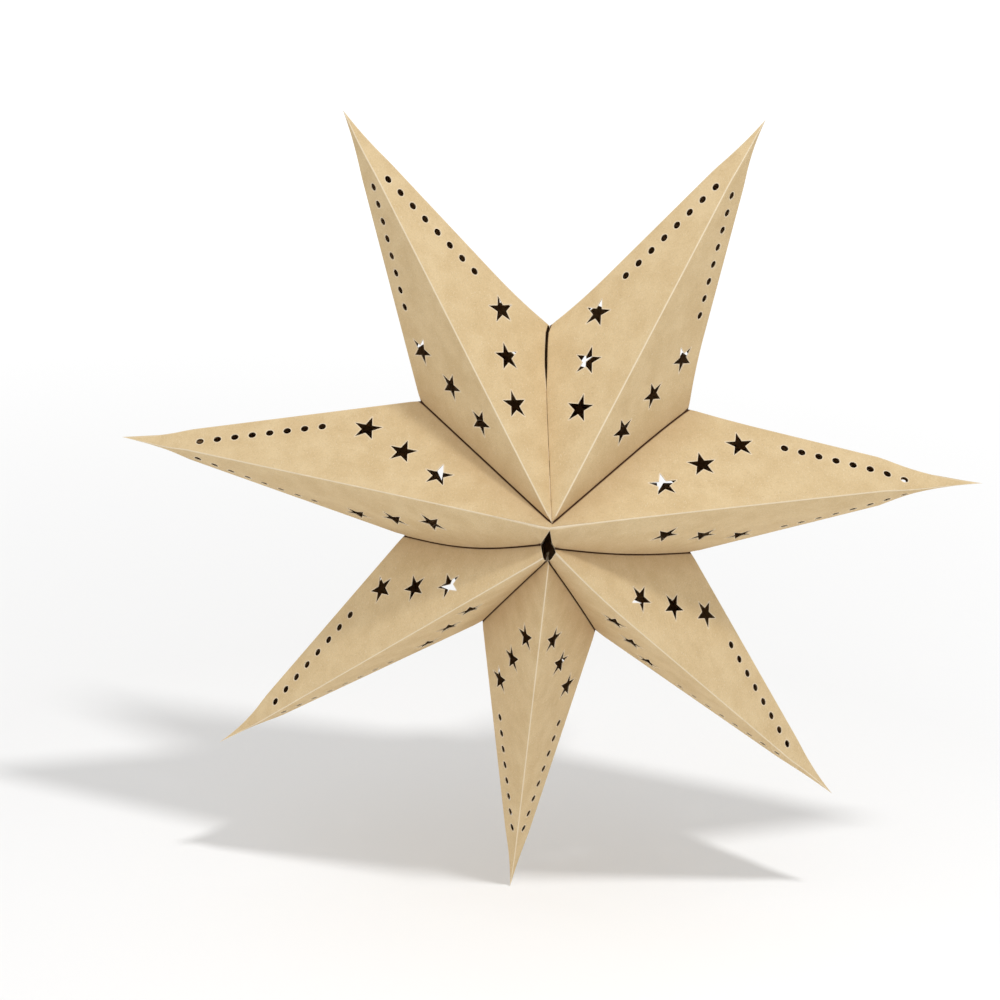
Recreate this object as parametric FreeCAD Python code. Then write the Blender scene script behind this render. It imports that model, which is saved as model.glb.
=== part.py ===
import FreeCAD, Part
import math
import os
from FreeCAD import Placement, Rotation, Vector

# Hanging star of seven hollow arms, each one sheet of kraft card that is cut,
# folded along its ridges and glued. The star faces -Y, +X is to the right and
# +Z is up. The origin is the hanging point, where the two upper arms part.

# Card and glued edges, in millimetres
CARD = 0.5           # thickness of the sheet
FLAP_WIDTH = 9.0     # flap along each seam edge, glued flat to its neighbour
TAB_WIDTH = 8.0      # tab inside the side edge where the sheet closes on itself
TAB_START = 34.0     # bare length of that edge next to the tip
CLOSURE_GAP = 2.0    # mouth of the top seam, which is the last one closed

# Shape of the opened star, in millimetres from the middle of the hub
HALF_DEPTH = 101.0   # middle plane to the seams' inner ends
ARM_REACH = 303.0    # hub to a tip when every arm stands alike
SEAM_REACH = 111.0   # hub to the outer corner between two arms

# Arms: name, bearing in degrees from +X and how far the tip stands past the common reach
ARMS = [
    ("arm_bottom", 267.4, 4.0),
    ("arm_lower_right", 314.3, 1.0),
    ("arm_right", 5.0, -4.0),
    ("arm_upper_right", 65.0, -1.0),
    ("arm_upper_left", 120.5, 4.0),
    ("arm_left", 175.3, -0.5),
    ("arm_lower_left", 221.9, 2.0),
]

# Seams: the same for the outer corner after each arm, nearest the hub where the fan is wide
SEAM_CORNERS = [
    (289.7, -2.5),
    (339.1, -3.0),
    (37.0, 0.5),
    (94.0, 8.5),
    (146.7, 4.5),
    (199.8, -0.5),
    (245.6, -1.5),
]
CLOSURE_SEAM = 3

# Hub opening: x and z of the seams' inner ends, where the sheets' corners are cut off
HUB_TOP = (0.0, 12.5)
HUB_CORNERS = [(2.0, -15.0), (4.5, -2.5), HUB_TOP, HUB_TOP, HUB_TOP, (-7.0, -3.0), (-3.5, -14.5)]

# The left and right arms also touch each other, from the hub's top down to here
HUB_PINCH = (-1.5, 8.0)
PINCHED = ("arm_right", "arm_left")

# Dots: a row beside each side edge, measured along it from the tip
DOT_COUNT = 8
DOT_DIAMETER = 5.0
DOT_SIDES = 7
DOT_FIRST = 52.5
DOT_PITCH = 12.4
DOT_INSET = 12.8

# Star cut-outs: a slanting row of five-pointed stars towards the ridge
STAR_COUNT = 3
STAR_POINTS = 5
STAR_RADIUS = 10.0
STAR_WAIST = 3.9
STAR_TURN = 3.5      # degrees from the side edge to a star's first point
STAR_FIRST = 171.0
STAR_INSET = 19.7
STAR_PITCH = 35.0
STAR_LINE = 47.0     # degrees between the side edge and the row

# Space to work in: well past the tips, and punches that clear the card on each side
ROOM_EDGE = 2.6 * ARM_REACH
PUNCH_CLEARANCE = 2 * CARD
CUTTER_EDGE = 4 * ROOM_EDGE
DEPTH_AXIS = Vector(0, 1, 0)


def polar(bearing, reach):
    """Point in the middle plane, seen from the hub."""
    turn = math.radians(bearing)
    return Vector(reach * math.cos(turn), 0, reach * math.sin(turn))


def tip_of(arm):
    """Tip of an arm by its number."""
    name, bearing, past = ARMS[arm]
    return polar(bearing, ARM_REACH + past)


def outer_corner(seam):
    """Outer corner of a seam by its number, before the closure seam is set apart."""
    bearing, past = SEAM_CORNERS[seam]
    return polar(bearing, SEAM_REACH + past)


def flat(pair):
    """Point in the middle plane from its x and z."""
    return Vector(pair[0], 0, pair[1])


def cube(edge, base):
    """Block centred on the vertical through the hub, from the base height up."""
    return Part.makeBox(edge, edge, edge, Vector(-edge / 2, -edge / 2, base))


def away_from(direction, point, inside):
    """The direction, turned if need be so that it leaves the inside."""
    unit = Vector(direction).normalize()
    return unit if unit.dot(inside - point) < 0 else -unit


def clipped(solid, planes):
    """The solid without what lies outside each plane, given as a point and an outward normal."""
    for point, outward in planes:
        block = cube(CUTTER_EDGE, 0)
        block.Placement = Placement(point, Rotation(Vector(0, 0, 1), outward))
        solid = solid.cut(block)
    return solid


def within(planes):
    """The space inside all the planes."""
    return clipped(cube(ROOM_EDGE, -ROOM_EDGE / 2), planes)


class Panel:
    """One of an arm's four flat faces: from the tip, along a side edge, across to the ridge."""

    def __init__(self, tip, outer, hub, inside):
        self.tip = tip
        self.along = (outer - tip).normalize()
        across = (hub - tip) - self.along * (hub - tip).dot(self.along)
        self.across = across.normalize()
        self.outward = away_from(self.along.cross(self.across), tip, inside)

    def at(self, along, across):
        return self.tip + self.along * along + self.across * across

    def plane(self, inset=0.0):
        return self.tip - self.outward * inset, self.outward

    def punch(self, outline):
        """Prism through the card under a closed outline of (along, across) points."""
        lift = self.outward * PUNCH_CLEARANCE
        corners = [self.at(along, across) + lift for along, across in outline]
        face = Part.Face(Part.makePolygon(corners + corners[:1]))
        return face.extrude(self.outward * -(CARD + 2 * PUNCH_CLEARANCE))


def ring(centre, radii, turn):
    """Closed outline round a centre: its corners take the radii in turn."""
    count = len(radii)
    angles = [math.radians(turn) + 2 * math.pi * i / count for i in range(count)]
    return [
        (centre[0] + radius * math.cos(angle), centre[1] + radius * math.sin(angle))
        for radius, angle in zip(radii, angles)
    ]


def pattern():
    """Outlines of one panel's cut-outs."""
    dots = [
        ring((DOT_FIRST + i * DOT_PITCH, DOT_INSET), [DOT_DIAMETER / 2] * DOT_SIDES, 0)
        for i in range(DOT_COUNT)
    ]
    slant = math.radians(STAR_LINE)
    stars = [
        ring(
            (
                STAR_FIRST + i * STAR_PITCH * math.cos(slant),
                STAR_INSET + i * STAR_PITCH * math.sin(slant),
            ),
            [STAR_RADIUS, STAR_WAIST] * STAR_POINTS,
            STAR_TURN,
        )
        for i in range(STAR_COUNT)
    ]
    return dots + stars


def seam_corner(seam, arm):
    """Outer corner of a seam on one arm's side, which the closure seam sets apart."""
    corner = outer_corner(seam)
    if seam != CLOSURE_SEAM:
        return corner
    aside = (corner - flat(HUB_CORNERS[seam])).cross(DEPTH_AXIS)
    return corner - away_from(aside, corner, tip_of(arm)) * (CLOSURE_GAP / 2)


def wall_through(start, end, inside):
    """Upright plane through two points of the middle plane, facing out of the arm."""
    return start, away_from((end - start).cross(DEPTH_AXIS), start, inside)


def seam_flap(body, wall, panels):
    """The arm's flap band on one seam, folded in flat along its front and back edges."""
    point, outward = wall
    inner_face = point - outward * CARD, -outward
    band = clipped(body, [inner_face])
    insets = [FLAP_WIDTH * panel.outward.cross(outward).Length for panel in panels]
    return band.cut(within([panel.plane(inset) for panel, inset in zip(panels, insets)]))


def side_tab(front, back, others, walls):
    """The tab behind the front panel's side edge, hinged on the back panel's edge."""
    start = front.at(TAB_START, 0)
    end = front.at(0, TAB_WIDTH)
    room = [panel.plane(CARD) for panel in [front, back] + others]
    inner_face = front.tip - front.outward * (2 * CARD), -front.outward
    return within(room + walls + [inner_face, (start, -front.along), (end, front.across)])


def make_arm(number):
    """One arm: a folded sheet with its flaps, its tab, its cut corner and its cut-outs."""
    name = ARMS[number][0]
    tip = tip_of(number)
    seams = [number, number - 1]
    outers = [seam_corner(seam, number) for seam in seams]
    hubs = [flat(HUB_CORNERS[seam]) for seam in seams]
    inside = (tip + outers[0] + outers[1]) * (1 / 3)

    fronts, backs = [
        [Panel(tip, outer, hub + depth, inside) for outer, hub in zip(outers, hubs)]
        for depth in (-DEPTH_AXIS * HALF_DEPTH, DEPTH_AXIS * HALF_DEPTH)
    ]
    panels = fronts + backs
    walls = [wall_through(outer, hub, inside) for outer, hub in zip(outers, hubs)]
    end_points = [hubs[0]] + ([flat(HUB_PINCH)] if name in PINCHED else []) + [hubs[1]]
    ends = [
        wall_through(start, end, inside)
        for start, end in zip(end_points, end_points[1:])
        if not start.isEqual(end, CARD)
    ]

    body = within([panel.plane() for panel in panels] + walls + ends)
    sheet = body.cut(within([panel.plane(CARD) for panel in panels]))
    flaps = [
        seam_flap(body, wall, [front, back])
        for wall, front, back in zip(walls, fronts, backs)
    ]
    tab = side_tab(fronts[0], backs[0], [fronts[1], backs[1]], walls + ends)
    folded = sheet.fuse(flaps + [tab]).removeSplitter()

    outlines = pattern()
    punches = [panel.punch(outline) for panel in panels for outline in outlines]
    return name, folded.cut(Part.makeCompound(punches))


def main():
    os.makedirs("parts", exist_ok=True)
    hanging_point = outer_corner(CLOSURE_SEAM)
    for number in range(len(ARMS)):
        name, arm = make_arm(number)
        arm.translate(-hanging_point)
        arm.exportStep("parts/" + name + ".step")
        solids = len(arm.Solids)
        print(name, "solids", solids, "valid", arm.isValid(), "volume", round(arm.Volume, 1))


main()
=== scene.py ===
import math

import bmesh
import bpy
from mathutils import Matrix, Vector, noise
from mathutils.geometry import delaunay_2d_cdt


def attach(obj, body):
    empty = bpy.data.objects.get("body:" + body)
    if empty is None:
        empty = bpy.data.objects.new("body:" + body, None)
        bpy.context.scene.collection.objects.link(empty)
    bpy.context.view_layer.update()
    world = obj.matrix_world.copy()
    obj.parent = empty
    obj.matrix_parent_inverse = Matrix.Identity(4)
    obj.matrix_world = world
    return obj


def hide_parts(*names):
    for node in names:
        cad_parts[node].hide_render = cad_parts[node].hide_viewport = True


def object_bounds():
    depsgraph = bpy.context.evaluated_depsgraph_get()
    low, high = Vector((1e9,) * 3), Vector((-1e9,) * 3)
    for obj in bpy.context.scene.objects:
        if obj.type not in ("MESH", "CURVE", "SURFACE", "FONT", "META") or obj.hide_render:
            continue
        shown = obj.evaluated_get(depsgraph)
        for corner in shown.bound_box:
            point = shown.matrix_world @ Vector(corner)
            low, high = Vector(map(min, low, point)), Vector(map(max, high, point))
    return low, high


# Hanging star of seven folded kraft card arms, lit softly from above on a white floor.
# Shapes are worked out in millimetres from the middle of the hub, as the card was cut
# and folded, and then placed from the hanging point, which is the frame's origin.

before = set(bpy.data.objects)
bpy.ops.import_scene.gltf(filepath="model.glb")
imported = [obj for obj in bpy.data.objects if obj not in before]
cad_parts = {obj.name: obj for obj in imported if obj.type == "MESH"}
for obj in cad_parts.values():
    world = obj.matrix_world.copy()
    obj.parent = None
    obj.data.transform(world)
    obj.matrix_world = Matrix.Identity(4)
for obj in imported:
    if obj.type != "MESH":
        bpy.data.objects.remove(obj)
lowest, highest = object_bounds()
frame_size = [list(lowest), list(highest)]

MM = 0.001

# Card, folds and flaps, in millimetres
CARD = 0.5
FLAP_WIDTH = 9.0
TAB_WIDTH = 8.0
TAB_START = 34.0
CLOSURE_GAP = 2.0
FOLD_REACH = 1.3       # how far a fold's rounding spreads on each side
FOLD_TAPER = 0.08      # and per millimetre from a tip, where there is less room
GRID = 6.0             # spacing of the sheet's points, fine enough to bend it
CLEARANCE = 1.6        # from the sheet's points to an edge
HALO = 1.0             # width of the pale rim round a cut-out
SHARP_FOLD = 42.0      # degrees above which an edge is shaded as a sharp one
CLAMP = 1.5            # how far the thickness may follow a sharp corner

# The opened star
HALF_DEPTH = 101.0

# Arms: name, bearing in degrees from +X and reach from the hub to the tip
ARMS = [
    ("arm_bottom", 267.4, 307.0),
    ("arm_lower_right", 314.3, 304.0),
    ("arm_right", 5.0, 299.0),
    ("arm_upper_right", 65.0, 302.0),
    ("arm_upper_left", 120.5, 307.0),
    ("arm_left", 175.3, 302.5),
    ("arm_lower_left", 221.9, 305.0),
]

# Seams: bearing and reach of the outer corner after each arm
SEAM_CORNERS = [
    (289.7, 108.5),
    (339.1, 108.0),
    (37.0, 111.5),
    (94.0, 119.5),
    (146.7, 115.5),
    (199.8, 110.5),
    (245.6, 109.5),
]
CLOSURE_SEAM = 3

# Hub opening: x and z of the seams' inner ends, and where the level arms part
HUB_TOP = (0.0, 12.5)
HUB_CORNERS = [(2.0, -15.0), (4.5, -2.5), HUB_TOP, HUB_TOP, HUB_TOP, (-7.0, -3.0), (-3.5, -14.5)]
HUB_PINCH = (-1.5, 8.0)
PINCHED = ("arm_right", "arm_left")

# Cut-outs, measured along a panel's side edge from the tip and in from that edge
DOT_COUNT = 8
DOT_DIAMETER = 5.4
DOT_SIDES = 16
DOT_FIRST = 52.5
DOT_PITCH = 12.4
DOT_INSET = 12.8
STAR_COUNT = 3
STAR_POINTS = 5
STAR_RADIUS = 10.8
STAR_WAIST = 4.15
STAR_TURN = 3.5
STAR_FIRST = 171.0
STAR_INSET = 19.7
STAR_PITCH = 35.0
STAR_LINE = 47.0
NEAR_HOLE = 4 * STAR_RADIUS   # past this a cut-out has no say in a point's place

# How the card gives: slow waves run through each panel
WAVE = 0.5
WAVE_LENGTH = 55.0
CALM = 16.0            # distance from an edge at which a wave has its full height

# The level arms' ridges rise towards the hub, and their lower panels belly out
RIDGE_RISE = {
    "arm_right": Vector((0, 0, 10.0)),
    "arm_left": Vector((0, 0, 10.0)),
}
RISE_POWERS = (2.0, 1.0)      # how steeply the rise fades across an upper and a lower panel
BELLIES = {
    ("arm_right", 1): 2.5,
    ("arm_left", 0): 2.5,
    ("arm_lower_right", 1): 1.0,
    ("arm_lower_left", 0): 1.2,
}
BELLY_START = 120.0    # distance from the tip at which a belly has its full height

# Hub: x and z of places there, how far round them the card moves, and by how much
HUB_SHIFTS = {
    "arm_right": [
        ((0.8, 4.1), 5.0, Vector((-1.5, 0, -0.8))),
        ((-1.5, 8.0), 6.0, Vector((1.3, 0, 4.0))),
        ((2.0, 1.9), 5.0, Vector((-2.8, 0, 0))),
    ],
    "arm_left": [
        ((-3.7, 3.6), 5.0, Vector((2.5, 0, -0.5))),
        ((-1.5, 8.0), 6.0, Vector((1.3, 0, 4.0))),
    ],
    "arm_lower_right": [((3.0, -10.2), 75.0, Vector((1.2, 0, 4.7)))],
}

# Seams by number: how far the middle sags and the inner end moves, then the outer corner
SEAM_SHIFT = {
    0: (Vector(), Vector((-3.0, 0, 0))),
    1: (Vector((0, -1.0, -3.0)), Vector((-1.4, 0, -3.0))),
    5: (Vector((0, -2.0, -5.0)), Vector()),
    6: (Vector(), Vector((1.0, 0, 0))),
}
CORNER_SHIFT = {2: Vector((3.2, 0, 0.7)), 3: Vector((0, 0, 4.5))}
CORNER_REACH = 55.0

# The top seam swings aside where it gapes, most where the shape's power puts it, and
# closes between these shares of the way down
SLIT_SWING = -2.8
SLIT_POWER = 0.45
SLIT_CLOSED = (0.20, 0.32)

# Tips: length that gives way, share it is pinched thinner, twist in degrees, and bend
TIP_SHAPES = {
    "arm_bottom": (45.0, 0.3, 0.0, Vector((-1.0, 0, 0))),
    "arm_lower_right": (45.0, 0.3, 10.0, Vector((3.0, 0, -1.0))),
    "arm_right": (70.0, 0.6, -30.0, Vector((3.5, 0, -1.5))),
    "arm_upper_right": (45.0, 0.3, -15.0, Vector((2.5, 0, 1.5))),
    "arm_upper_left": (45.0, 0.2, 12.0, Vector((-1.0, 0, 2.0))),
    "arm_left": (45.0, 0.4, 30.0, Vector((-3.5, 0, 0))),
    "arm_lower_left": (45.0, 0.6, 15.0, Vector((-5.0, 0, -1.0))),
}

# Photographer's camera: place in millimetres from the hanging point, angles in degrees
CAMERA_PLACE = Vector((-9.7, -2140.0, 601.5))
CAMERA_HEADING = 0.50
CAMERA_DIP = 18.78
CAMERA_ROLL = 2.91
SENSOR = 36.0
LENS = 115.2

# Light: even sky, a round key lamp above in front, and a broad fill from the left.
# Places and sizes are in metres.
SKY = 0.72
KEY_POWER = 10.8
KEY_PLACE = Vector((0.44, -0.80, 1.57))
KEY_SIZE = 0.20
FLOOR_KEY_POWER = 11.0        # second lamp beside the key that lights the floor alone
FILL = 0.26
FILL_SPREAD = 60.0
FILL_FROM = Vector((-0.5, -0.4, 0.8))
FLOOR_EDGE = 40.0
FLOOR_TONE = 0.82
FLOOR_LIFT = (0.04, 0.42)     # glow under the star and far from it
FLOOR_LIFT_REACH = (0.5, 2.2)

DEPTH_AXIS = Vector((0, 1, 0))


def polar(bearing, reach):
    """Point in the middle plane, seen from the hub."""
    turn = math.radians(bearing)
    return Vector((reach * math.cos(turn), 0, reach * math.sin(turn)))


def flat(pair):
    return Vector((pair[0], 0, pair[1]))


HANGING_POINT = polar(*SEAM_CORNERS[CLOSURE_SEAM])


def leaving(direction, point, inside):
    """The direction, turned if need be so that it leaves the inside."""
    unit = direction.normalized()
    return unit if unit.dot(inside - point) < 0 else -unit


def ring(centre, radii, turn):
    """Closed outline round a centre: its corners take the radii in turn."""
    count = len(radii)
    angles = [math.radians(turn) + 2 * math.pi * i / count for i in range(count)]
    return [
        Vector((centre[0] + radius * math.cos(angle), centre[1] + radius * math.sin(angle)))
        for radius, angle in zip(radii, angles)
    ]


def pattern():
    """Outlines of one panel's cut-outs."""
    dots = [
        ring((DOT_FIRST + i * DOT_PITCH, DOT_INSET), [DOT_DIAMETER / 2] * DOT_SIDES, 0)
        for i in range(DOT_COUNT)
    ]
    slant = math.radians(STAR_LINE)
    stars = [
        ring(
            (
                STAR_FIRST + i * STAR_PITCH * math.cos(slant),
                STAR_INSET + i * STAR_PITCH * math.sin(slant),
            ),
            [STAR_RADIUS, STAR_WAIST] * STAR_POINTS,
            STAR_TURN,
        )
        for i in range(STAR_COUNT)
    ]
    return dots + stars


def inside_outline(point, outline):
    """Whether a flat point lies within a closed outline."""
    inside = False
    for a, b in zip(outline, outline[1:] + outline[:1]):
        if (a.y > point.y) != (b.y > point.y):
            if point.x < a.x + (point.y - a.y) * (b.x - a.x) / (b.y - a.y):
                inside = not inside
    return inside


def off_line(point, a, b):
    """Distance from a flat point to the line through two others."""
    run = (b - a).normalized()
    return abs((point - a).cross(run))


def off_outline(point, outline):
    """Distance from a flat point to the nearest edge of a closed outline."""
    nearest = math.inf
    for a, b in zip(outline, outline[1:] + outline[:1]):
        run = b - a
        share = min(1.0, max(0.0, (point - a).dot(run) / run.length_squared))
        nearest = min(nearest, (point - a - run * share).length)
    return nearest


def spaced(a, b):
    """Points from a up to but not including b, evenly spaced about a grid step apart."""
    count = max(1, round((b - a).length / GRID))
    return [a.lerp(b, i / count) for i in range(count)]


def seam_corner(seam, arm):
    """Outer corner of a seam on one arm's side, which the closure seam sets apart."""
    corner = polar(*SEAM_CORNERS[seam])
    if seam != CLOSURE_SEAM:
        return corner
    aside = (corner - flat(HUB_CORNERS[seam])).cross(DEPTH_AXIS)
    return corner - leaving(aside, corner, polar(*ARMS[arm][1:])) * (CLOSURE_GAP / 2)


class Arm:
    """The places and planes that an arm's four panels share."""

    def __init__(self, number):
        self.name, bearing, reach = ARMS[number]
        self.tip = polar(bearing, reach)
        self.seams = seams = [number, (number - 1) % len(ARMS)]
        self.outers = [seam_corner(seam, number) for seam in seams]
        self.hubs = [flat(HUB_CORNERS[seam]) for seam in seams]
        self.inside = (self.tip + self.outers[0] + self.outers[1]) / 3
        self.rise = RIDGE_RISE.get(self.name, Vector())
        self.soft_tip, self.pinched, self.twist, self.bend = TIP_SHAPES[self.name]
        self.axis = (self.inside - self.tip).normalized()
        self.pinch = [flat(HUB_PINCH)] if self.name in PINCHED else []

    def ridge_end(self, outwards, depth):
        """Where the fold between two panels meets the line on which the sheet's corner is cut off."""
        along = outwards[0].cross(outwards[1])
        if along.dot(self.tip) > 0:
            along = -along
        ends = [self.hubs[0]] + self.pinch + [self.hubs[1]]
        if (ends[0] - ends[-1]).length < CARD:
            return ends[0] + depth
        best = None
        for a, b in zip(ends, ends[1:]):
            across = (b - a).cross(DEPTH_AXIS)
            reach = (a - self.tip).dot(across) / along.dot(across)
            point = self.tip + along * reach
            share = (point - a).dot(b - a) / (b - a).length_squared
            if best is None or abs(share - 0.5) < best[0]:
                best = (abs(share - 0.5), point, len(ends) > 2 and b is ends[-1])
        self.ridge_side = 1 if best[2] else 0
        return best[1]


class Panel:
    """One flat face of an arm in its own coordinates: along the side edge and in from it."""

    def __init__(self, arm, side, depth):
        self.arm = arm
        self.side = side
        self.seam = arm.seams[side]
        self.seam_fold = CARD if self.seam == CLOSURE_SEAM else FOLD_REACH
        self.front = depth.y < 0
        self.belly = BELLIES.get((arm.name, side), 0.0)
        self.tip = arm.tip
        self.corner = arm.outers[side]
        self.hub = arm.hubs[side] + depth
        self.along = (self.corner - self.tip).normalized()
        reach = self.hub - self.tip
        self.across = (reach - self.along * reach.dot(self.along)).normalized()
        self.outward = leaving(self.along.cross(self.across), self.tip, arm.inside)
        wall = (self.corner - arm.hubs[side]).cross(DEPTH_AXIS)
        self.wall = leaving(wall, self.corner, arm.inside)

    def finish(self, other, ridge_end):
        """Settles the outline once the neighbouring panel is known."""
        self.ridge_normal = (self.outward + other.outward).normalized()
        self.ridge_turn = self.outward.angle(other.outward)
        self.ridge_end = ridge_end
        mirrored = Vector((self.outward.x, -self.outward.y, self.outward.z))
        self.side_normal = (self.outward + mirrored).normalized()
        self.side_turn = self.outward.angle(mirrored)
        self.seam_normal = (self.outward + self.wall).normalized()
        self.seam_turn = self.outward.angle(self.wall)
        corners = [self.tip, self.corner, self.hub]
        if self.arm.pinch and self.arm.ridge_side != self.side:
            corners.append(self.on_plane(self.arm.pinch[0]))
        if (ridge_end - self.hub).length > CARD:
            corners.append(ridge_end)
        self.corners = [self.to_flat(corner) for corner in corners]
        self.flat_ridge = self.to_flat(ridge_end)

    def on_plane(self, point):
        """The point moved in depth onto the panel."""
        drop = (self.tip - point).dot(self.outward) / self.outward.y
        return point + DEPTH_AXIS * drop

    def to_flat(self, point):
        reach = point - self.tip
        return Vector((reach.dot(self.along), reach.dot(self.across)))

    def at(self, point):
        return self.tip + self.along * point.x + self.across * point.y

    def distances(self, point):
        """Distances to the side edge, the ridge and the seam."""
        side, seam, hub = self.corners[0], self.corners[1], self.corners[2]
        return (
            point.y,
            off_line(point, side, self.flat_ridge),
            off_line(point, seam, hub),
        )


def fold_dip(distance, reach, turn):
    """How far a rounded fold lies inside the sharp one."""
    if reach <= 0 or distance >= reach:
        return 0.0
    return reach * math.tan(turn / 4) * (1 - distance / reach) ** 2


def smooth(value, limits):
    """0 below the limits, 1 above, with soft ends."""
    share = min(1.0, max(0.0, (value - limits[0]) / (limits[1] - limits[0])))
    return share * share * (3 - 2 * share)


def seam_move(panel, share):
    """How far a seam lies out of line, at a share of the way from its outer corner to the hub."""
    sag, end = SEAM_SHIFT.get(panel.seam, (Vector(), Vector()))
    move = sag * math.sin(math.pi * share) + end * share ** 2
    if panel.seam == CLOSURE_SEAM:
        move.x += SLIT_SWING * math.sin(math.pi * share ** SLIT_POWER)
        closing = (1 - share) * smooth(share, SLIT_CLOSED) * CLOSURE_GAP / 2
        if not panel.front:
            move.x = -move.x
        return move + panel.wall * closing
    if not panel.front:
        move.y = -move.y
    return move


def hub_move(panel, place):
    """How far the sheet moves near the hub opening."""
    moved = Vector()
    for spot, reach, shift in HUB_SHIFTS.get(panel.arm.name, []):
        nearness = max(0.0, 1 - math.hypot(place.x - spot[0], place.z - spot[1]) / reach)
        moved += shift * nearness ** 2
    return moved


def corner_move(panel, place):
    """How far the sheet moves near a seam's outer corner that stands out of line."""
    nearness = max(0.0, 1 - (place - panel.corner).length / CORNER_REACH)
    return CORNER_SHIFT.get(panel.seam, Vector()) * nearness ** 2


def shaped_tip(arm, place, from_tip):
    """The place after the tip's card is pinched, twisted and bent."""
    nearness = max(0.0, 1 - from_tip / arm.soft_tip)
    offset = place - arm.tip
    along = arm.axis * offset.dot(arm.axis)
    turn = Matrix.Rotation(math.radians(arm.twist) * nearness, 3, arm.axis)
    aside = turn @ (offset - along) * (1 - arm.pinched * nearness)
    return arm.tip + along + aside + arm.bend * nearness ** 2


def bent(panel, point):
    """Place of a flat sheet point on the folded, slightly uneven panel."""
    arm = panel.arm
    place = panel.at(point)
    seam, hub = panel.corners[1], panel.corners[2]
    to_side, to_ridge, to_seam = panel.distances(point)
    from_tip = point.length
    reach = min(FOLD_REACH, from_tip * FOLD_TAPER)
    moved = place.copy()
    moved -= panel.side_normal * fold_dip(to_side, reach, panel.side_turn)
    moved -= panel.ridge_normal * fold_dip(to_ridge, reach, panel.ridge_turn)
    moved -= panel.seam_normal * fold_dip(to_seam, panel.seam_fold, panel.seam_turn)

    calm = min(1.0, min(to_side, to_ridge, to_seam) / CALM)
    wave = noise.noise(place / WAVE_LENGTH) * WAVE
    moved += panel.outward * wave * calm

    across = min(to_side, to_seam)
    across /= max(across + to_ridge, CARD)
    down_ridge = min(1.0, from_tip / panel.flat_ridge.length)
    moved += arm.rise * (down_ridge * across ** RISE_POWERS[panel.belly > 0])
    full = panel.belly * min(1.0, from_tip / BELLY_START)
    moved += panel.outward * (full * math.sin(math.pi * across))
    # Where two arms touch at the hub the card moves whole, and elsewhere mostly its ridge
    moved += hub_move(panel, place) * (1.0 if arm.pinch else across)

    share = to_seam / max(to_seam + to_ridge, CARD)
    down_seam = (point - seam).dot(hub - seam) / (hub - seam).length_squared
    moved += seam_move(panel, min(1.0, max(0.0, down_seam))) * (1 - share) ** 1.5
    moved += corner_move(panel, place)
    return shaped_tip(arm, moved, from_tip)


class Sheet:
    """Vertices, faces and fold distances of one arm's card."""

    def __init__(self):
        self.mesh = bmesh.new()
        layers = self.mesh.verts.layers.float
        self.layers = [layers.new(name) for name in ("to_side", "to_ridge", "to_seam", "to_cut")]

    def vertex(self, place, distances):
        made = self.mesh.verts.new((place - HANGING_POINT) * MM)
        for layer, distance in zip(self.layers, distances):
            made[layer] = distance
        return made

    def face(self, corners, outward):
        made = self.mesh.faces.new(corners)
        made.normal_update()
        if made.normal.dot(outward) < 0:
            made.normal_flip()


def fold_rows(panel, outline):
    """Points beside each fold, so that its rounding has a shape."""
    rows = []
    edges = [(panel.corners[0], panel.corners[1]), (panel.corners[1], panel.corners[2])]
    edges.append((panel.corners[0], panel.flat_ridge))
    for start, end in edges:
        run = (end - start).normalized()
        inward = Vector((-run.y, run.x))
        middle = sum(panel.corners, Vector((0, 0))) / len(panel.corners)
        if inward.dot(middle - start) < 0:
            inward = -inward
        for base in spaced(start, end)[1:]:
            for part in (0.5, 1.0):
                reach = min(FOLD_REACH, base.length * FOLD_TAPER) * part
                point = base + inward * reach
                others = [off_line(point, a, b) for a, b in edges if (a, b) != (start, end)]
                if inside_outline(point, outline) and min(others) > 2 * FOLD_REACH * part:
                    rows.append(point)
    return rows


def marks(panel, point, holes):
    """Distances that the card's marks and painted shade go by: to the side edge, ridge, seam and
    cut-outs.

    The closure seam isn't glued and gets no painted groove shade, and one of its edges takes the
    ridge's pale line of wear and painted highlight."""
    to_side, to_ridge, to_seam = panel.distances(point)
    near = [hole for hole in holes if (hole[0] - point).length < NEAR_HOLE]
    to_cut = min([off_outline(point, hole) for hole in near] + [CALM])
    if panel.seam == CLOSURE_SEAM:
        if panel.side:
            to_ridge = min(to_ridge, to_seam)
        to_seam = 4 * CALM
    return to_side, to_ridge, to_seam, to_cut


def halo(hole):
    """Points just outside a cut-out, which hold its pale rim."""
    middle = sum(hole, Vector((0, 0))) / len(hole)
    return [point + (point - middle).normalized() * HALO for point in hole]


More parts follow.
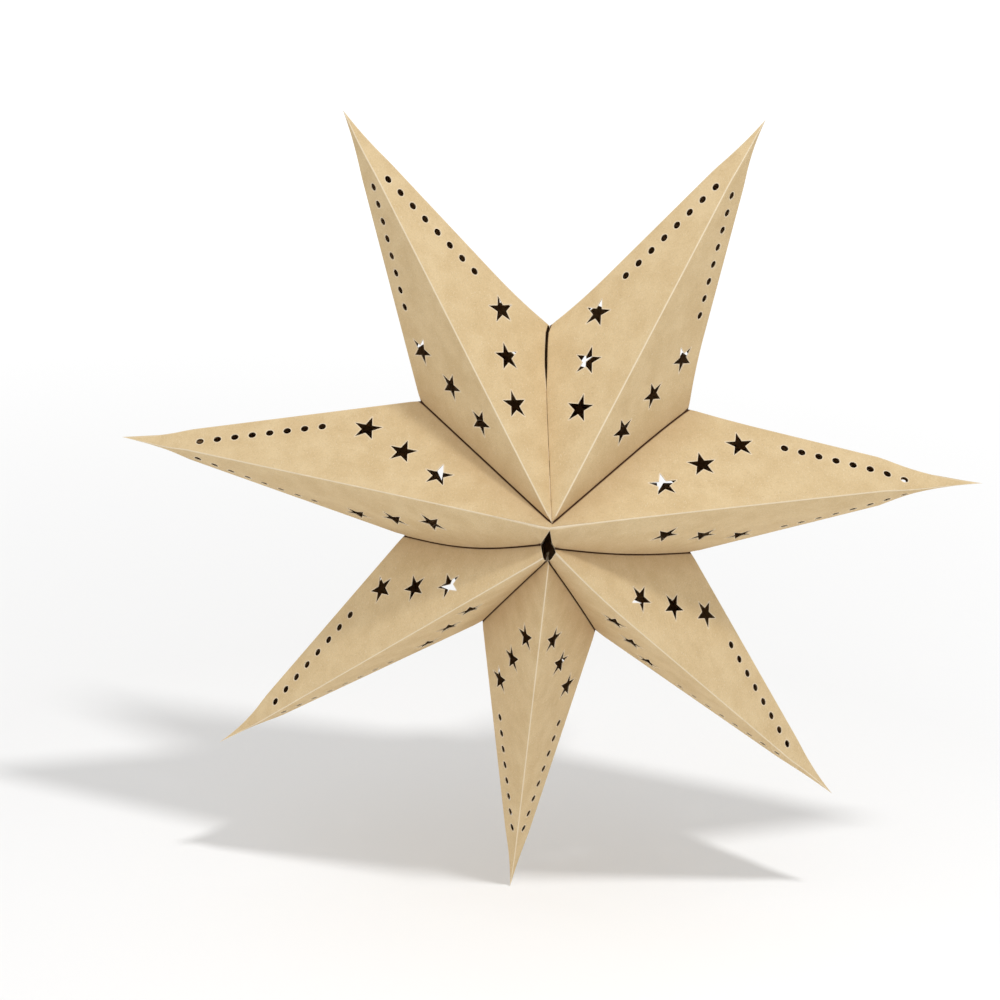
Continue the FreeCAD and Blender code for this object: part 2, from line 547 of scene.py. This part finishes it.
def lay_panel(sheet, panel, holes):
    """Meshes the panel's sheet with its cut-outs and bends it into place."""
    outline = []
    for a, b in zip(panel.corners, panel.corners[1:] + panel.corners[:1]):
        outline += spaced(a, b)
    points = list(outline)
    loops = [list(range(len(outline)))]
    for hole in holes:
        loops.append(list(range(len(points), len(points) + len(hole))))
        points += hole
    points += fold_rows(panel, outline)
    for hole in holes:
        points += [point for point in halo(hole) if off_outline(point, hole) > HALO / 3]
    rows = int(max(point.y for point in outline) / GRID) + 1
    columns = int(max(point.x for point in outline) / GRID) + 1
    for row in range(rows):
        for column in range(columns):
            point = Vector(((column + row % 2 / 2) * GRID, row * GRID * math.sqrt(3) / 2))
            if not inside_outline(point, outline) or off_outline(point, outline) < 2 * CLEARANCE:
                continue
            near = [hole for hole in holes if (hole[0] - point).length < NEAR_HOLE]
            if any(inside_outline(point, h) or off_outline(point, h) < 1.5 * HALO for h in near):
                continue
            points.append(point)
    edges = [(a, b) for loop in loops for a, b in zip(loop, loop[1:] + loop[:1])]
    flat_points, _, faces, _, _, _ = delaunay_2d_cdt(points, edges, [], 1, CARD * MM)
    verts = [sheet.vertex(bent(panel, p), marks(panel, p, holes)) for p in flat_points]
    for corners in faces:
        middle = sum((flat_points[i] for i in corners), Vector((0, 0))) / len(corners)
        near = [hole for hole in holes if (hole[0] - middle).length < NEAR_HOLE]
        if not any(inside_outline(middle, hole) for hole in near):
            sheet.face([verts[i] for i in corners], panel.outward)


def lay_strip(sheet, rows, distances, outward):
    """Quads between rows of places that have the same count."""
    grid = [[sheet.vertex(place, distances) for place in row] for row in rows]
    for near, far in zip(grid, grid[1:]):
        for i in range(len(near) - 1):
            sheet.face([near[i], near[i + 1], far[i + 1], far[i]], outward)


def lay_flap(sheet, panel):
    """The flap folded in along the seam, which is glued to the next arm's."""
    seam, hub = panel.corners[1], panel.corners[2]
    base = spaced(seam, hub) + [hub]
    length = (hub - seam).length
    run = (panel.at(hub) - panel.at(seam)).normalized()
    inward = leaving(run.cross(panel.wall), Vector(), panel.outward)
    rows = [[bent(panel, point) for point in base]]
    for reach in (FOLD_REACH / 2, FOLD_REACH, FLAP_WIDTH):
        row = []
        for point in base:
            place = min(max((point - seam).length, reach), length - reach / 2)
            flat_place = panel.at(seam) + run * place + inward * reach
            flat_place -= panel.seam_normal * fold_dip(reach, panel.seam_fold, panel.seam_turn)
            flat_place += seam_move(panel, place / length) + corner_move(panel, flat_place)
            row.append(flat_place)
        rows.append(row)
    lay_strip(sheet, rows, (CALM, CALM, 0.0, CALM), panel.wall)


def lay_tab(sheet, panel):
    """The tab under the front panel's side edge, on which the sheet closes."""
    under = panel.outward * (CARD * 1.1)
    end = panel.corners[1].x - TAB_WIDTH
    base = spaced(Vector((TAB_START, 0)), Vector((end, 0)))
    rows = [
        [bent(panel, point + Vector((0, inset))) - under for point in base]
        for inset in (2 * CARD, TAB_WIDTH)
    ]
    lay_strip(sheet, rows, (CALM, CALM, CALM, CALM), panel.outward)


def fold_sheet(arm):
    """Mesh of one arm's card before it has a thickness."""
    sheet = Sheet()
    holes = pattern()
    for depth in (DEPTH_AXIS * -HALF_DEPTH, DEPTH_AXIS * HALF_DEPTH):
        panels = [Panel(arm, side, depth) for side in (0, 1)]
        ridge_end = arm.ridge_end([panel.outward for panel in panels], depth)
        for panel, other in (panels, panels[::-1]):
            panel.finish(other, ridge_end)
            lay_panel(sheet, panel, holes)
            lay_flap(sheet, panel)
        if depth.y < 0:
            lay_tab(sheet, panels[0])
    bmesh.ops.remove_doubles(sheet.mesh, verts=sheet.mesh.verts, dist=CARD * MM / 20)
    bmesh.ops.dissolve_degenerate(sheet.mesh, edges=sheet.mesh.edges, dist=CARD * MM / 50)
    mesh = bpy.data.meshes.new(arm.name + "_sheet")
    sheet.mesh.to_mesh(mesh)
    sheet.mesh.free()
    return mesh


def thicken(piece):
    """Gives the card its thickness inwards, with a paler cut edge and an inner side painted darker as
    shade.
    """
    thick = piece.modifiers.new("card", "SOLIDIFY")
    thick.thickness = CARD * MM
    thick.offset = -1
    thick.use_even_offset = True
    thick.thickness_clamp = CLAMP
    thick.material_offset_rim = 1
    # The inner side takes the material with painted shade
    thick.material_offset = 2
    bpy.context.view_layer.update()
    made = piece.evaluated_get(bpy.context.evaluated_depsgraph_get())
    solid = bpy.data.meshes.new_from_object(made)
    piece.modifiers.clear()
    piece.data = solid
    solid.shade_smooth()
    solid.set_sharp_from_angle(angle=math.radians(SHARP_FOLD))


def make_arm(number, materials):
    """One arm's folded card, standing for its solid."""
    arm = Arm(number)
    mesh = fold_sheet(arm)
    for material in materials:
        mesh.materials.append(material)
    piece = bpy.data.objects.new(arm.name + "_card", mesh)
    bpy.context.collection.objects.link(piece)
    thicken(piece)
    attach(piece, "root")
    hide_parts(arm.name)


class Nodes:
    """Adds a material's nodes and joins them."""

    def __init__(self, name):
        self.material = bpy.data.materials.new(name)
        self.material.use_nodes = True
        self.tree = self.material.node_tree
        self.tree.nodes.clear()

    def add(self, kind, settings=None, **inputs):
        node = self.tree.nodes.new(kind)
        for key, value in (settings or {}).items():
            setattr(node, key, value)
        for key, value in inputs.items():
            self.put(node.inputs[key.replace("_", " ")], value)
        return node

    def put(self, socket, value):
        if isinstance(value, bpy.types.NodeSocket):
            self.tree.links.new(value, socket)
        else:
            socket.default_value = value

    def ramp(self, factor, stops):
        node = self.add("ShaderNodeValToRGB")
        self.put(node.inputs[0], factor)
        marks = node.color_ramp.elements
        while len(marks) < len(stops):
            marks.new(0.5)
        for mark, (place, colour) in zip(marks, stops):
            mark.position = place
            mark.color = (*colour, 1)
        return node.outputs[0]

    def mix(self, factor, a, b, blend="MIX"):
        node = self.add("ShaderNodeMix", {"data_type": "RGBA", "blend_type": blend})
        self.put(node.inputs[0], factor)
        self.put(node.inputs[6], a if isinstance(a, bpy.types.NodeSocket) else (*a, 1))
        self.put(node.inputs[7], b if isinstance(b, bpy.types.NodeSocket) else (*b, 1))
        return node.outputs[2]

    def math(self, kind, a, b=0.0):
        node = self.add("ShaderNodeMath", {"operation": kind, "use_clamp": True})
        self.put(node.inputs[0], a)
        self.put(node.inputs[1], b)
        return node.outputs[0]


# Colours of the card
KRAFT_LIGHT = (0.755, 0.582, 0.340)
KRAFT_DARK = (0.680, 0.507, 0.280)
FIBRE_DARK = (0.45, 0.29, 0.14)
FIBRE_PALE = (0.86, 0.74, 0.54)
# Pale fold line: partly real wear, partly a painted highlight on the fold's crest
WORN_FOLD_AND_HIGHLIGHT = (0.88, 0.76, 0.57)
# Painted shade: browner and darker near the seams, where the valleys between arms lie in shade
SEAM_SHADE = (0.46, 0.29, 0.14)
# Painted shade in the narrow groove where two arms' flaps meet
GROOVE_SHADE = (0.085, 0.035, 0.015)
CUT_EDGE = (0.88, 0.76, 0.58)
# Inner side of the card, painted darker to stand for the shade inside the star
INSIDE_SHADE = (0.34, 0.21, 0.11)

# How far each mark spreads from its fold, in millimetres
SHADE_REACH = 24.0
GROOVE_SHADE_REACH = 1.1
RIDGE_WEAR_AND_HIGHLIGHT = 1.1
SIDE_WEAR_AND_HIGHLIGHT = 1.2


def near(nodes, name, reach):
    """1 on a fold, falling to 0 at the reach in millimetres."""
    distance = nodes.add("ShaderNodeAttribute", {"attribute_name": name}).outputs["Fac"]
    return nodes.math("SUBTRACT", 1.0, nodes.math("DIVIDE", distance, reach))


def kraft():
    """Uncoated kraft card: cloudy tone, fine fibres, worn folds with a painted highlight on their
    crests, and painted shade along the seams.
    """
    nodes = Nodes("kraft_card")
    place = nodes.add("ShaderNodeTexCoord").outputs["Object"]
    cloud = nodes.add("ShaderNodeTexNoise", Vector=place, Scale=55.0, Detail=4.0, Roughness=0.6)
    grain = nodes.add("ShaderNodeTexNoise", Vector=place, Scale=950.0, Detail=3.0, Roughness=0.7)
    stretch = nodes.add("ShaderNodeMapping", Vector=place, Scale=(300.0, 300.0, 1900.0))
    fibres = nodes.add("ShaderNodeTexNoise", Vector=stretch.outputs[0], Scale=1.0, Detail=2.0)
    turned = nodes.add(
        "ShaderNodeMapping", Vector=place, Rotation=(0.4, 0.9, 0.7), Scale=(1700.0, 260.0, 900.0)
    )
    flecks = nodes.add("ShaderNodeTexNoise", Vector=turned.outputs[0], Scale=1.0, Detail=1.0)

    tone = nodes.ramp(cloud.outputs[0], [(0.35, KRAFT_DARK), (0.65, KRAFT_LIGHT)])
    speck = nodes.ramp(grain.outputs[0], [(0.30, (0.80,) * 3), (0.55, (1.0,) * 3)])
    tone = nodes.mix(0.55, tone, speck, "MULTIPLY")
    dark = nodes.ramp(fibres.outputs[0], [(0.64, (0.0,) * 3), (0.74, (1.0,) * 3)])
    tone = nodes.mix(nodes.math("MULTIPLY", dark, 0.30), tone, FIBRE_DARK)
    pale = nodes.ramp(flecks.outputs[0], [(0.62, (0.0,) * 3), (0.72, (1.0,) * 3)])
    tone = nodes.mix(nodes.math("MULTIPLY", pale, 0.35), tone, FIBRE_PALE)

    # Painted shade over the valleys between arms, fading out at SHADE_REACH from the seam
    shade = nodes.math("MULTIPLY", near(nodes, "to_seam", SHADE_REACH), 0.36)
    tone = nodes.mix(shade, tone, SEAM_SHADE)
    # Wear and painted highlight: a pale line along each ridge and, fainter, along the side folds
    wear_and_highlight = nodes.math("MULTIPLY", near(nodes, "to_ridge", RIDGE_WEAR_AND_HIGHLIGHT), 1.0)
    tone = nodes.mix(wear_and_highlight, tone, WORN_FOLD_AND_HIGHLIGHT)
    wear_and_highlight = nodes.math("MULTIPLY", near(nodes, "to_side", SIDE_WEAR_AND_HIGHLIGHT), 0.5)
    tone = nodes.mix(wear_and_highlight, tone, WORN_FOLD_AND_HIGHLIGHT)
    rim = nodes.math("MULTIPLY", near(nodes, "to_cut", HALO), 0.8)
    tone = nodes.mix(rim, tone, CUT_EDGE)
    # Painted shade: a near-black line in each glued seam's groove
    groove_shade = nodes.math("MULTIPLY", near(nodes, "to_seam", GROOVE_SHADE_REACH), 1.5)
    tone = nodes.mix(groove_shade, tone, GROOVE_SHADE)

    bump = nodes.add("ShaderNodeBump", Strength=0.35, Distance=0.00012, Height=grain.outputs[0])
    shader = nodes.add("ShaderNodeBsdfPrincipled", Base_Color=tone, Roughness=0.88)
    shader.inputs["Specular IOR Level"].default_value = 0.22
    nodes.put(shader.inputs["Normal"], bump.outputs[0])
    output = nodes.add("ShaderNodeOutputMaterial")
    nodes.put(output.inputs[0], shader.outputs[0])
    return nodes.material


def cut_card():
    """The card's paler core, seen where it was cut."""
    nodes = Nodes("kraft_cut_edge")
    place = nodes.add("ShaderNodeTexCoord").outputs["Object"]
    grain = nodes.add("ShaderNodeTexNoise", Vector=place, Scale=2200.0, Detail=2.0)
    tone = nodes.ramp(grain.outputs[0], [(0.35, KRAFT_LIGHT), (0.60, CUT_EDGE)])
    shader = nodes.add("ShaderNodeBsdfPrincipled", Base_Color=tone, Roughness=0.95)
    shader.inputs["Specular IOR Level"].default_value = 0.15
    output = nodes.add("ShaderNodeOutputMaterial")
    nodes.put(output.inputs[0], shader.outputs[0])
    return nodes.material


def shaded_inside_card():
    """The sheet's inner side: rougher kraft, painted darker for the shade inside the star."""
    nodes = Nodes("kraft_inside_painted_shade")
    place = nodes.add("ShaderNodeTexCoord").outputs["Object"]
    grain = nodes.add("ShaderNodeTexNoise", Vector=place, Scale=700.0, Detail=3.0)
    tone = nodes.ramp(grain.outputs[0], [(0.35, INSIDE_SHADE), (0.70, FIBRE_DARK)])
    shader = nodes.add("ShaderNodeBsdfPrincipled", Base_Color=tone, Roughness=0.95)
    shader.inputs["Specular IOR Level"].default_value = 0.1
    output = nodes.add("ShaderNodeOutputMaterial")
    nodes.put(output.inputs[0], shader.outputs[0])
    return nodes.material


def direct_rays(nodes):
    """1 for rays that come straight from the camera or off a glossy or clear surface."""
    rays = nodes.add("ShaderNodeLightPath")
    seen = nodes.math("ADD", rays.outputs["Is Camera Ray"], rays.outputs["Is Glossy Ray"])
    return nodes.math("ADD", seen, rays.outputs["Is Transmission Ray"])


def white_floor():
    """White floor that keeps the star's shadow and stays white where the key lamp is far."""
    nodes = Nodes("white_floor")
    place = nodes.add("ShaderNodeTexCoord").outputs["Object"]
    reach = nodes.add("ShaderNodeVectorMath", {"operation": "LENGTH"})
    nodes.put(reach.inputs[0], place)
    lift = nodes.add("ShaderNodeMapRange")
    nodes.put(lift.inputs["Value"], reach.outputs["Value"])
    for name, value in zip(("From Min", "From Max"), FLOOR_LIFT_REACH):
        lift.inputs[name].default_value = value
    for name, value in zip(("To Min", "To Max"), FLOOR_LIFT):
        lift.inputs[name].default_value = value
    paint = nodes.add("ShaderNodeBsdfDiffuse", Color=(FLOOR_TONE, FLOOR_TONE, FLOOR_TONE, 1))
    glow = nodes.add("ShaderNodeEmission", Color=(1, 1, 1, 1))
    level = nodes.math("MULTIPLY", direct_rays(nodes), lift.outputs[0])
    nodes.put(glow.inputs["Strength"], level)
    both = nodes.add("ShaderNodeAddShader")
    nodes.put(both.inputs[0], paint.outputs[0])
    nodes.put(both.inputs[1], glow.outputs[0])
    output = nodes.add("ShaderNodeOutputMaterial")
    nodes.put(output.inputs[0], both.outputs[0])
    return nodes.material


def make_floor(height):
    half = FLOOR_EDGE / 2
    mesh = bpy.data.meshes.new("floor")
    corners = [(-half, -half), (half, -half), (half, half), (-half, half)]
    mesh.from_pydata([(x, y, 0) for x, y in corners], [], [(0, 1, 2, 3)])
    mesh.materials.append(white_floor())
    floor = bpy.data.objects.new("floor", mesh)
    floor.location.z = height
    bpy.context.collection.objects.link(floor)
    return floor


def make_sky():
    """Plain white surroundings: full white where seen, dimmer as a light."""
    world = bpy.data.worlds.new("studio")
    bpy.context.scene.world = world
    world.use_nodes = True
    tree = world.node_tree
    tree.nodes.clear()
    rays = tree.nodes.new("ShaderNodeLightPath")
    seen = tree.nodes.new("ShaderNodeMath")
    seen.operation = "ADD"
    seen.use_clamp = True
    tree.links.new(rays.outputs["Is Camera Ray"], seen.inputs[0])
    tree.links.new(rays.outputs["Is Transmission Ray"], seen.inputs[1])
    level = tree.nodes.new("ShaderNodeMapRange")
    level.inputs["To Min"].default_value = SKY
    level.inputs["To Max"].default_value = 1.0
    tree.links.new(seen.outputs[0], level.inputs["Value"])
    back = tree.nodes.new("ShaderNodeBackground")
    back.inputs["Color"].default_value = (1, 1, 1, 1)
    tree.links.new(level.outputs[0], back.inputs["Strength"])
    output = tree.nodes.new("ShaderNodeOutputWorld")
    tree.links.new(back.outputs[0], output.inputs[0])


def make_key(name, power, middle):
    """A round lamp above in front, aimed at the star's middle."""
    lamp = bpy.data.lights.new(name, "AREA")
    lamp.shape = "DISK"
    lamp.size = KEY_SIZE
    lamp.energy = power
    key = bpy.data.objects.new(name, lamp)
    key.location = KEY_PLACE
    key.rotation_euler = (KEY_PLACE - middle).to_track_quat("Z", "Y").to_euler()
    bpy.context.collection.objects.link(key)
    return key


def make_lamps(middle, floor):
    """The key lamp, the one that lights the floor alone, and the fill."""
    make_key("key", KEY_POWER, middle)
    floor_key = make_key("floor_key", FLOOR_KEY_POWER, middle)
    lit = bpy.data.collections.new("lit_by_floor_key")
    lit.objects.link(floor)
    floor_key.light_linking.receiver_collection = lit
    lamp = bpy.data.lights.new("fill", "SUN")
    lamp.energy = FILL
    lamp.angle = math.radians(FILL_SPREAD)
    fill = bpy.data.objects.new("fill", lamp)
    fill.rotation_euler = FILL_FROM.to_track_quat("Z", "Y").to_euler()
    bpy.context.collection.objects.link(fill)


def make_camera():
    """The photographer's view: slightly from above, with a small roll."""
    data = bpy.data.cameras.new("camera")
    data.sensor_width = SENSOR
    data.lens = LENS
    data.clip_end = 2 * FLOOR_EDGE
    camera = bpy.data.objects.new("camera", data)
    camera.matrix_world = (
        Matrix.Translation(CAMERA_PLACE * MM)
        @ Matrix.Rotation(math.radians(CAMERA_HEADING), 4, "Z")
        @ Matrix.Rotation(math.radians(90 - CAMERA_DIP), 4, "X")
        @ Matrix.Rotation(math.radians(CAMERA_ROLL), 4, "Z")
    )
    bpy.context.collection.objects.link(camera)
    bpy.context.scene.camera = camera


def main():
    materials = [kraft(), cut_card(), shaded_inside_card()]
    for number in range(len(ARMS)):
        make_arm(number, materials)
    floor = make_floor(frame_size[0][2])
    make_sky()
    make_lamps((Vector(lowest) + Vector(highest)) / 2, floor)
    make_camera()
    bpy.context.scene.view_settings.view_transform = "Standard"


main()
